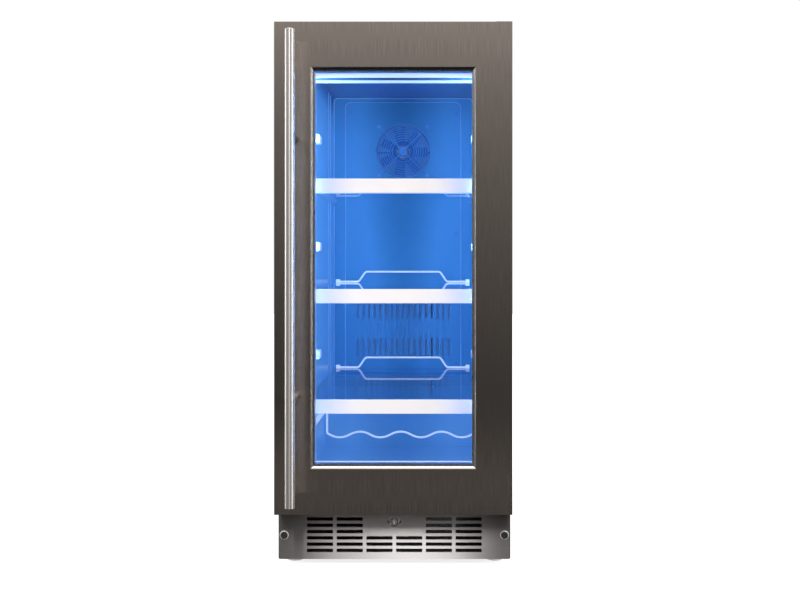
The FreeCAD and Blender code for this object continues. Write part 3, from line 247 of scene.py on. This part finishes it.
# Display window: dark glossy acrylic.
display_glass = finish("acrylic_dark_gloss", "#0b0d12", "#07080c", 4 * MM, rough=(0.05, 0.1),
                       Coat_Weight=0.5)
# Float glass: nearly colourless, with the faint cool tint of its thickness.
pane_glass = clear_glass("glass_float_clear", "#fdfeff", 1.3)
shelf_glass = clear_glass("glass_float_shelf", "#f2f8ff", 1.5)


def lit_plastic(name, near, far, start, end, rough, glow, painted_glow_tint, low_share=0.0, painted_shade_share=0.0):
    """Plastic in the blue light, with painted light and shade in its colour. Its colour goes from far in the
    middle to near at the sides and lower down, a painted reflection and lamp light: mix = smoothstep(|x| from
    start to end)
    + low_share * smoothstep(z from 0.80 down to 0.25), with a cloudy drift of +-0.06, a fine moulded texture
      and a faint
    tinted painted glow, which fades to a third above the lamps: glow * (1 to 0.3 as z goes from 0.76 to
    0.82). The ceiling gets a painted shade for the lamps' shade: painted_shade_share * smoothstep(z from 0.80
    to 0.845) of a deep blue."""
    made, tree = new_material(name)
    place = add(tree, "ShaderNodeTexCoord").outputs["Object"]
    axes = add(tree, "ShaderNodeSeparateXYZ", {0: place})
    height = axes.outputs[2]
    out = add(tree, "ShaderNodeMath", {0: axes.outputs[0]}, operation="ABSOLUTE").outputs[0]
    side = add(tree, "ShaderNodeMapRange", {"Value": out, 1: start, 2: end},
               interpolation_type="SMOOTHSTEP").outputs[0]
    lower = add(tree, "ShaderNodeMapRange", {"Value": height, 1: LOWER_RANGE[0], 2: LOWER_RANGE[1], 3: -0.06,
                                             4: low_share - 0.06}, interpolation_type="SMOOTHSTEP").outputs[0]
    scaled = add(tree, "ShaderNodeMapping", {"Vector": place, "Scale": [1 / CLOUD] * 3}).outputs[0]
    cloud = add(tree, "ShaderNodeTexNoise", {"Vector": scaled, "Scale": 1.0, "Detail": 2.0}).outputs[0]
    drift = add(tree, "ShaderNodeMath", {0: cloud, 1: 0.12, 2: lower}, operation="MULTIPLY_ADD").outputs[0]
    share = add(tree, "ShaderNodeMath", {0: side, 1: drift}, operation="ADD", use_clamp=True).outputs[0]
    # painted light: far colour in the middle, near colour at the sides and lower down
    colour = add(tree, "ShaderNodeMix", {0: share, 6: linear(far), 7: linear(near)},
                 data_type="RGBA").outputs[2]
    shade = add(tree, "ShaderNodeMapRange", {"Value": height, 1: PAINTED_CEILING_SHADE[0], 2: PAINTED_CEILING_SHADE[1],
                                             4: painted_shade_share}, interpolation_type="SMOOTHSTEP").outputs[0]
    # painted shade: the ceiling's colour turns to a deep blue
    colour = add(tree, "ShaderNodeMix", {0: shade, 6: colour, 7: linear("#0a4394")},
                 data_type="RGBA").outputs[2]
    fine = add(tree, "ShaderNodeMapping", {"Vector": place, "Scale": [1 / PEEL] * 3}).outputs[0]
    peel = add(tree, "ShaderNodeTexNoise", {"Vector": fine, "Scale": 1.0, "Detail": 2.0}).outputs[0]
    roughness = add(tree, "ShaderNodeMapRange", {"Value": peel, 3: rough[0], 4: rough[1]}).outputs[0]
    bump = add(tree, "ShaderNodeBump", {"Height": peel, "Strength": 0.2, "Distance": 0.02 * MM}).outputs[0]
    # painted glow, fading above the lamps
    fade = add(tree, "ShaderNodeMapRange", {"Value": height, 1: PAINTED_GLOW_FADE[0], 2: PAINTED_GLOW_FADE[1],
                                            3: glow, 4: 0.3 * glow}).outputs[0]
    shown = add(tree, "ShaderNodeBsdfPrincipled",
                {"Base Color": colour, "Roughness": roughness, "Normal": bump,
                 "Emission Color": linear(painted_glow_tint), "Emission Strength": fade, "Specular IOR Level": 0.3})
    add(tree, "ShaderNodeOutputMaterial", {"Surface": shown.outputs[0]})
    return made


def ground_plate(name, centre_tint, painted_end_tint):
    """Steel ground from side to side: streaks 0.45 mm high and 40 mm long, and a painted reflection falloff
    that darkens the colour towards the ends, mix = smoothstep(|x| from 0.08 to 0.19). Anisotropy smears
    reflections upright."""
    made, tree = new_material(name)
    place = add(tree, "ShaderNodeTexCoord").outputs["Object"]
    x = add(tree, "ShaderNodeSeparateXYZ", {0: place}).outputs[0]
    out = add(tree, "ShaderNodeMath", {0: x}, operation="ABSOLUTE").outputs[0]
    end = add(tree, "ShaderNodeMapRange", {"Value": out, 1: PAINTED_DARK_ENDS[0], 2: PAINTED_DARK_ENDS[1]},
              interpolation_type="SMOOTHSTEP").outputs[0]
    scale = [1 / (40 * MM), 1 / BRUSHING, 1 / BRUSHING]
    streaked = add(tree, "ShaderNodeMapping", {"Vector": place, "Scale": scale}).outputs[0]
    noise = add(tree, "ShaderNodeTexNoise", {"Vector": streaked, "Scale": 1.0, "Detail": 2.0}).outputs[0]
    streak = add(tree, "ShaderNodeMath", {0: noise, 1: 0.3, 2: -0.15}, operation="MULTIPLY_ADD").outputs[0]
    share = add(tree, "ShaderNodeMath", {0: end, 1: streak}, operation="ADD", use_clamp=True).outputs[0]
    colour = add(tree, "ShaderNodeMix", {0: share, 6: linear(centre_tint), 7: linear(painted_end_tint)},
                 data_type="RGBA").outputs[2]
    shown = add(tree, "ShaderNodeBsdfPrincipled",
                {"Base Color": colour, "Metallic": 1.0, "Roughness": 0.38, "Anisotropic": 1.0,
                 "Anisotropic Rotation": 0.25})
    add(tree, "ShaderNodeOutputMaterial", {"Surface": shown.outputs[0]})
    return made


# Kick plate: stainless ground from side to side, so the lamp above shows as an upright light band.
# Its colour darkens towards the ends, a painted reflection falloff.
kick_steel = ground_plate("stainless_brushed_horizontal", "#e4e0dd", "#8e8a87")
# Liner and rear cover: glossy moulded polystyrene. The blue of the light is part of their colour.
# Their colour also carries a painted reflection, darker in the middle, a painted glow and, on the liner, a
# painted ceiling shade.
liner_plastic = lit_plastic("polystyrene_liner_gloss", "#84c4ec", "#2f8cc4", 0, 0.152, (0.2, 0.3), 0.22,
                            "#5b86bf", 0.3, 0.65)
cover_plastic = lit_plastic("polystyrene_cover_gloss", "#5aa6d8", "#18739f", 0, 0.12, (0.32, 0.42), 0.17,
                            "#2f6cb4", 0.7)
# Rounded ribs of the moulding, their pale colour and faint glow a painted highlight along them.
rib_plastic = lit_plastic("polystyrene_rib_gloss", "#9fcdf2", "#5f9fd8", 0, 0.152, (0.1, 0.18), 0.2,
                          "#5b9be6")
# Control housing: white satin ABS, painted light making it brightest at its sides, and a strong painted glow.
housing_plastic = lit_plastic("abs_housing_satin", "#f1f6ff", "#b4cbf0", 0, 0.15, (0.3, 0.4), 1.0,
                              "#cdd4e4")
# LED covers: frosted acrylic.
led_cover = lit_plastic("acrylic_led_diffuser", "#5580b8", "#0f3a6c", 0, 0.15, (0.35, 0.45), 0.1,
                        "#6f9ad4")
# Shelf front: satin anodised aluminium, painted light in its colour: warm white in the middle, lavender at
# the ends for the blue lamps, and a faint painted glow.
trim_metal = lit_plastic("aluminium_anodised_satin", "#9b90bc", "#e6d6cc", 0.06, 0.15, (0.3, 0.4), 0.08,
                         "#fff6ee")
# Screws of the rear cover, coloured like it: their blue and faint glow are painted light from the blue lamps.
cover_screw_finish = finish("steel_blue_painted_light", "#5f9cda", "#4c88c8", 2 * MM, rough=(0.3, 0.4),
                            Emission_Color=linear("#3f7cc6"), Emission_Strength=0.15)

FINISHES = {
    door_steel: ["door_skin"],
    kick_steel: ["kick_plate"],
    handle_steel: ["handle_bar", "handle_posts"],
    polished_steel: ["lock_plug"],
    dark_nickel: ["case_screws", "lock_housing"],
    evaporator_fins: ["evaporator_coil"],
    cover_screw_finish: ["cover_screws"],
    zinc_sheet: ["back_panel", "compartment_plate", "base_pan", "upper_hinge_bracket",
                 "lower_hinge_bracket"],
    case_paint: ["outer_case", "face_frame", "machine_cover"],
    compressor_enamel: ["compressor"],
    foam: ["foam_insulation"],
    black_plastic: ["condenser_fan_frame", "condenser_fan_rotor", "terminal_cover", "drain_pan",
                    "electronics_box", "cord_gland"],
    fan_plastic: ["evaporator_fan_frame", "evaporator_fan_rotor"],
    inner_frame_plastic: ["door_inner_frame"],
    white_plastic: ["drain_tube", "spare_shelf_clips", "hinge_bushes"],
    button_plastic: ["temperature_up_button", "temperature_down_button"],
    fin_aluminium: ["condenser_coil", "glass_spacer", "refrigerant_lines"],
    trim_metal: ["top_shelf_trim", "middle_shelf_trim", "bottom_shelf_trim"],
    rack_wire: ["wine_rack", "top_shelf_stop_wire", "middle_shelf_stop_wire", "bottom_shelf_stop_wire"],
    guard_wire: ["fan_guard"],
    copper: ["filter_drier"],
    foot_steel: ["front_left_foot", "front_right_foot", "rear_left_foot", "rear_right_foot"],
    display_glass: ["control_display"],
    pane_glass: ["outer_glass", "inner_glass"],
    shelf_glass: ["top_shelf_glass", "middle_shelf_glass", "bottom_shelf_glass"],
    liner_plastic: ["inner_liner"],
    cover_plastic: ["evaporator_cover"],
    housing_plastic: ["control_housing"],
    led_cover: ["led_strips"],
    gasket_rubber: ["door_gasket"],
}
for made, names in FINISHES.items():
    for name in names:
        nodes[name].data.materials.clear()
        nodes[name].data.materials.append(made)


# ---------------------------------------------------------------- new pieces

def welded_copy(name, body):
    """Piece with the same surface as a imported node, its points welded and its flat faces kept flat:
    edges that turn more than 25 degrees are sharp."""
    source = nodes[name]
    merged = bmesh.new()
    merged.from_mesh(source.data)
    bmesh.ops.transform(merged, matrix=source.matrix_world, verts=merged.verts)
    bmesh.ops.remove_doubles(merged, verts=merged.verts, dist=1e-5)
    for edge in merged.edges:
        edge.smooth = len(edge.link_faces) == 2 and edge.calc_face_angle(math.pi) < math.radians(25)
    for face in merged.faces:
        face.smooth = True
    mesh = bpy.data.meshes.new(name + "_surface")
    merged.to_mesh(mesh)
    merged.free()
    mesh.materials.clear()
    mesh.materials.append(source.data.materials[0])
    piece = bpy.data.objects.new(name + "_surface", mesh)
    bpy.context.collection.objects.link(piece)
    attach(piece, body)
    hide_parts(name)
    return piece


def window_bezel():
    """Polished lip on the bevel of the door's window: a thin four-sided strip."""
    half = glass_high.x - 10 * MM
    low = glass_low.z + 10 * MM
    high = glass_high.z - 10 * MM
    bevel = 3.0 * MM
    proud = 0.15 * MM
    profile = np.array([[bevel + 0.3 * MM, front - proud], [-proud, front + bevel - proud],
                        [-proud, front + bevel + 0.8 * MM], [0.1 * MM, front + bevel + 0.8 * MM],
                        [0.1 * MM, front + bevel], [bevel + 0.3 * MM, front + 0.1 * MM]])
    piece = mesh_piece("window_bezel", [frame_sweep(half, low, high, profile)], polished_steel, "door",
                       smooth=False)
    return piece


def bellows_gasket():
    """Door seal: a flat foot and a soft bellows whose side pulls in between two folds, as
    half-thickness = 5.2 - 1.5 sin(pi t) + 0.5 sin(3 pi t) mm over its height t."""
    half = gasket_high.x
    width = 16 * MM
    depth = (gasket_low.y, gasket_high.y)
    foot = 2.2 * MM
    t = np.linspace(0, 1, 13)
    swell = (5.2 - 1.5 * np.sin(math.pi * t) + 0.5 * np.sin(3 * math.pi * t)) * MM
    y = depth[0] + foot + t * (depth[1] - depth[0] - foot)
    middle = -width / 2
    outer = np.stack([middle + swell, y], axis=-1)
    inner = np.stack([middle - swell, y], axis=-1)[::-1]
    base = np.array([[-width, depth[0] + foot], [-width, depth[0]], [0, depth[0]], [0, depth[0] + foot]])
    profile = np.concatenate([outer, inner, base])
    piece = mesh_piece("door_seal", [frame_sweep(half, gasket_low.z, gasket_high.z, profile)],
                       gasket_rubber, "door")
    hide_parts("door_gasket")
    return piece


def screw_cups():
    """Dished washers round the two screws of the kick plate, turned from a curved profile."""
    x = kick_high.x - 8.5 * MM
    z = kick_low.z + 39 * MM
    plate = kick_low.y
    t = np.linspace(0, 1, 9)
    radius = (5.7 + 1.6 * t) * MM
    dish = plate - (1.0 * np.sin(math.pi * (0.15 + 0.85 * t))) * MM
    profile = np.concatenate([np.stack([radius, dish], axis=-1), [[7.3 * MM, plate + 0.3 * MM],
                              [5.7 * MM, plate + 0.3 * MM]], [[radius[0], dish[0]]]])
    piece = mesh_piece("kick_screw_cups", [lathe((side * x, z), profile) for side in (-1, 1)],
                       bright_zinc, "cabinet")
    return piece


def hub_label():
    """Crinkled foil disc on the evaporator fan's hub: depth = 0.02 r sin(9 a) cos(900 r)."""
    centre = ((guard_low.x + guard_high.x) / 2, (guard_low.z + guard_high.z) / 2)
    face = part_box("evaporator_fan_rotor")[0].y
    radius = np.linspace(0.2 * MM, 15 * MM, 12)
    angle = np.linspace(0, 2 * math.pi, 65)
    r, a = np.meshgrid(radius, angle, indexing="ij")
    y = face - 0.5 * MM - 0.02 * r * np.sin(9 * a) * np.cos(900 * r)
    top = np.stack([centre[0] + r * np.cos(a), y, centre[1] + r * np.sin(a)], axis=-1)
    rim = np.stack([top[-1], top[-1] + [0, 0.4 * MM, 0]])
    foil = finish("foil_crinkled", "#9dbdea", "#0b3168", 3.5 * MM, rough=(0.15, 0.35), bump=0.3 * MM,
                  Metallic=0.2)
    piece = mesh_piece("fan_hub_label", [top, rim], foil, "evaporator_fan")
    return piece


def ring_round(half, low, high, corner, radius, y, turn_steps=8, tube_steps=8):
    """Round bead of the given radius along an upright rectangle with rounded corners: each corner is a
    quarter circle, and the bead's own circle lies across its outward direction and Y."""
    points = []
    for i, (side, z, up) in enumerate([(1, high, 1), (-1, high, 1), (-1, low, -1), (1, low, -1)]):
        for t in np.linspace(i, i + 1, turn_steps + 1) * math.pi / 2:
            points.append((side * (half - corner) + corner * math.cos(t),
                           z - up * corner + corner * math.sin(t), math.cos(t), math.sin(t)))
    x, z, out_x, out_z = np.array(points + points[:1]).T[:, :, None]
    turn = np.linspace(0, 2 * math.pi, tube_steps + 1)[None, :]
    return np.stack([x + radius * np.cos(turn) * out_x, y + radius * np.sin(turn) + 0 * x,
                     z + radius * np.cos(turn) * out_z], axis=-1)


def cover_ribs():
    """Rounded ribs of the evaporator cover: one round its raised panel and one near its edge."""
    face = cover_low.y
    edge = 1.6 * MM
    low, high = cover_low.z + edge, cover_high.z - edge
    panel = ring_round(0.125, low + 9 * MM, high - 9 * MM, 13 * MM, 1.1 * MM, face + 0.3 * MM)
    rim = ring_round(cover_high.x - edge, low, high, 10 * MM, 1.2 * MM, face + 3.0 * MM)
    piece = mesh_piece("cover_ribs", [panel, rim], rib_plastic, "cabinet")
    return piece


def lock_ring():
    """Bright turned ring round the key lock: a circle of 0.7 by 0.5 mm at radius 7.2 mm, turned."""
    centre = (0.0, (lock_low.z + lock_high.z) / 2)
    t = np.linspace(0, 2 * math.pi, 13)
    profile = np.stack([(7.2 + 0.7 * np.cos(t)) * MM, lock_low.y + (0.1 + 0.5 * np.sin(t)) * MM], axis=-1)
    piece = mesh_piece("lock_ring", [lathe(centre, profile)], polished_steel, "cabinet")
    return piece


def wall_ribs():
    """Upright half-round ribs moulded in the side walls near the back: circles swept straight up."""
    t = np.linspace(0, 2 * math.pi, 13)
    grids = []
    for side in (-1, 1):
        for depth in (0.405, 0.435):
            x = side * (liner_high.x - 1.9 * MM) + 1.2 * MM * np.cos(t)
            y = front + depth + 1.2 * MM * np.sin(t)
            ends = [np.stack([x, y, 0 * x + z], axis=-1) for z in (0.262, 0.842)]
            grids.append(np.array(ends))
    piece = mesh_piece("wall_ribs", grids, rib_plastic, "cabinet")
    return piece


welded_copy("evaporator_cover", "cabinet")
cover_ribs()
wall_ribs()
lock_ring()
window_bezel()
bellows_gasket()
screw_cups()
hub_label()


# ---------------------------------------------------------------- studio

def area_light(name, place, towards, size, watts, colour="#ffffff"):
    """Rectangular soft light that the camera doesn't see."""
    lamp = bpy.data.lights.new(name, "AREA")
    lamp.shape = "RECTANGLE"
    lamp.size, lamp.size_y = size
    lamp.energy = watts
    lamp.color = linear(colour)[:3]
    shown = bpy.data.objects.new(name, lamp)
    bpy.context.collection.objects.link(shown)
    shown.location = place
    direction = np.array(towards, float) - np.array(place, float)
    yaw = math.atan2(direction[0], -direction[1])
    tilt = math.atan2(direction[2], math.hypot(direction[0], direction[1]))
    shown.rotation_euler = (math.pi / 2 + tilt, 0, yaw + math.pi)
    shown.visible_camera = False
    return shown


def studio_world():
    """White to the eye and to matt surfaces. What shines sees a dim room instead: its brightness
    follows the direction's height in listed steps, so that the door's sheet shades from light at the
    top to dark below its middle. Steps are (height, brightness), made a share by (height + 0.4) / 1.4."""
    world = bpy.data.worlds.new("studio")
    bpy.context.scene.world = world
    world.use_nodes = True
    tree = world.node_tree
    tree.nodes.clear()
    way = add(tree, "ShaderNodeTexCoord").outputs["Generated"]
    up = add(tree, "ShaderNodeSeparateXYZ", {0: way}).outputs[2]
    share = add(tree, "ShaderNodeMapRange", {"Value": up, 1: -0.4, 2: 1.0}).outputs[0]
    ramp = add(tree, "ShaderNodeValToRGB", {0: share})
    stops = ramp.color_ramp.elements
    steps = [(-0.4, 0.01), (-0.325, 0.01), (-0.305, 0.16), (-0.25, 0.18), (-0.215, 0.06), (-0.168, 0.028),
             (-0.11, 0.06), (-0.05, 0.08), (0.01, 0.11), (0.13, 0.18), (0.19, 0.24), (0.24, 0.3),
             (0.28, 0.48), (0.31, 0.5), (0.42, 0.05), (0.85, 0.2), (0.9, 1.8), (1.0, 1.8)]
    for i, (height, level) in enumerate(steps):
        spot = stops[i] if i < 2 else stops.new(0.5)
        spot.position = (height + 0.4) / 1.4
        spot.color = (level, level * 0.985, level * 0.97, 1)
    path = add(tree, "ShaderNodeLightPath")
    dim = add(tree, "ShaderNodeBackground", {"Color": ramp.outputs[0], "Strength": 1.0})
    bright = add(tree, "ShaderNodeBackground", {"Color": (1, 1, 1, 1), "Strength": 1.0})
    shown = add(tree, "ShaderNodeMixShader", {0: path.outputs["Is Glossy Ray"], 1: bright.outputs[0],
                                              2: dim.outputs[0]})
    add(tree, "ShaderNodeOutputWorld", {"Surface": shown.outputs[0]})


def floor():
    """Plain pale floor, 12 m square."""
    span = np.linspace(-6, 6, 3)
    x, y = np.meshgrid(span, span, indexing="ij")
    pale = finish("floor_matt_white", "#c8c8c8", "#c4c4c4", 0.4, rough=(0.9, 1.0),
                  Emission_Color=(1, 1, 1, 1), Emission_Strength=0.8)
    plane = mesh_piece("floor", [np.stack([x, y, 0 * x - 0.0005], axis=-1)], pale, None)
    plane.visible_glossy = False


def camera():
    """Camera in front of the door, a little to the right and just above its middle."""
    lens = bpy.data.cameras.new("camera")
    lens.sensor_width = 36
    lens.lens = 37.1
    lens.shift_x = -0.0375
    lens.shift_y = -0.05
    shown = bpy.data.objects.new("camera", lens)
    bpy.context.collection.objects.link(shown)
    shown.location = (0.058, front - 1.3, 0.496)
    shown.rotation_euler = (math.pi / 2, 0, 0)
    bpy.context.scene.camera = shown


bpy.context.scene.view_settings.view_transform = "Standard"
studio_world()
floor()
camera()
centre = (0, front, 0.45)
area_light("key", (-0.25, front - 9, 9.8), (0, front, 0), (0.25, 4.0), 540)
area_light("side_left", (-1.9, front + 0.45, 0.7), centre, (0.35, 2.0), 9)
area_light("bevel_left", (-1.9, front - 0.2, 0.7), centre, (0.3, 2.0), 4.0)
area_light("side_right", (1.7, front - 0.9, 0.7), centre, (0.6, 2.0), 15)
area_light("bevel_right", (1.9, front - 0.25, 0.7), centre, (0.3, 2.0), 0.8)
led_blue = "#9ad6ff"
for name, side in [("lamp_left", -1), ("lamp_right", 1)]:
    area_light(name, (side * 0.146, front + 0.054, 0.52), (-side * 0.1, front + 0.35, 0.5), (0.01, 0.6), 1.0,
               led_blue)
area_light("lamp_top", (0, front + 0.115, 0.79), (0, front + 0.3, 0.3), (0.26, 0.02), 0.06, led_blue)
